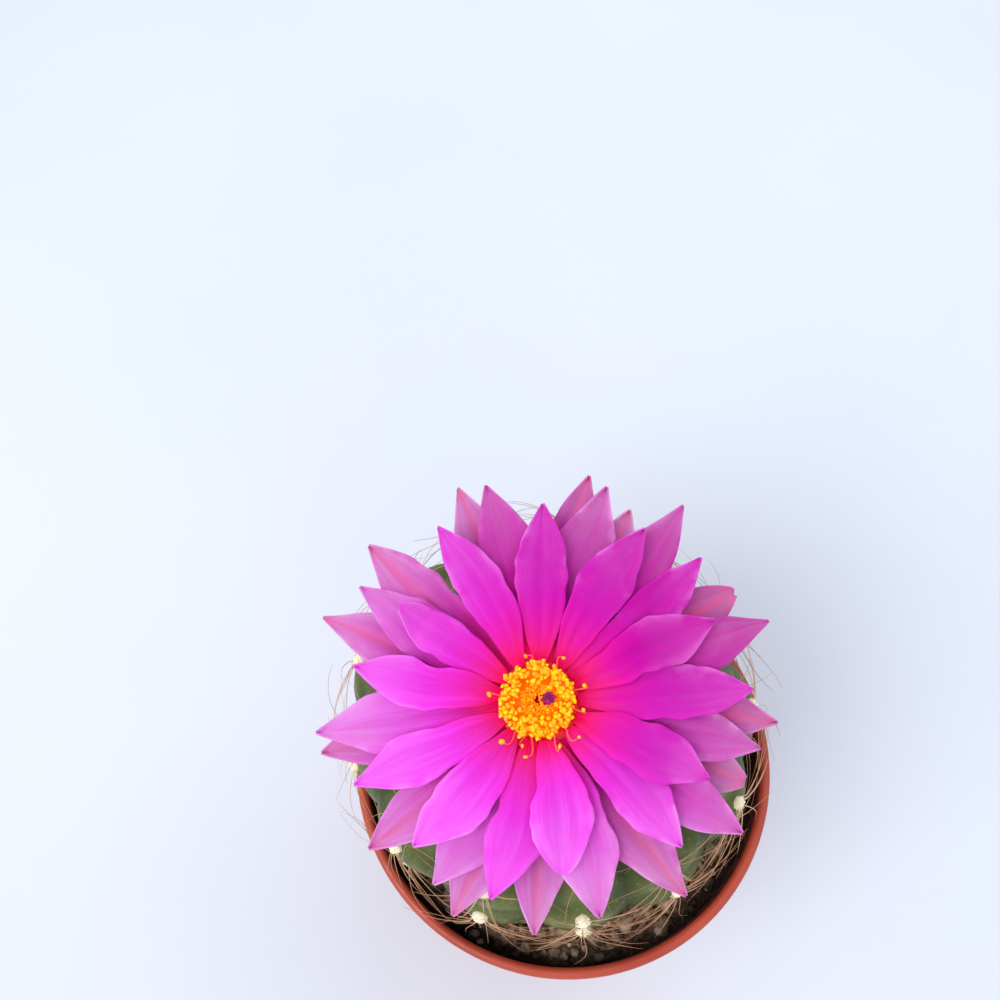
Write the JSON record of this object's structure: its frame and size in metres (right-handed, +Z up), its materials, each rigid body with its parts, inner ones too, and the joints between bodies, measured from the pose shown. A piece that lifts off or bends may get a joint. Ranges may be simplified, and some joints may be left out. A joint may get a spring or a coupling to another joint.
{
  "type": "potted notocactus uebelmannianus",
  "caption": "Low ribbed globe cactus with woolly areoles and long thin spines, one wide open magenta flower with yellow stamens, in a small round tapered pot of dark soil.",
  "frame": {"origin": "centre of the pot's underside, where it stands", "axes": "+Z up along the pot's axis, -Y to the front, towards which the flower leans"},
  "size_m": [0.068, 0.0705, 0.0892],
  "materials": {
    "pot": "satin",
    "soil": "matte",
    "stem": "satin",
    "flower_tube": "matte",
    "petals": "satin",
    "stamens": "matte",
    "pistil": "matte"
  },
  "bodies": {
    "root": {"pot": "pot", "soil": "soil", "stem": "stem", "flower_tube": "flower_tube", "petals": "petals", "stamens": "stamens", "pistil": "pistil"}
  },
  "joints": []
}
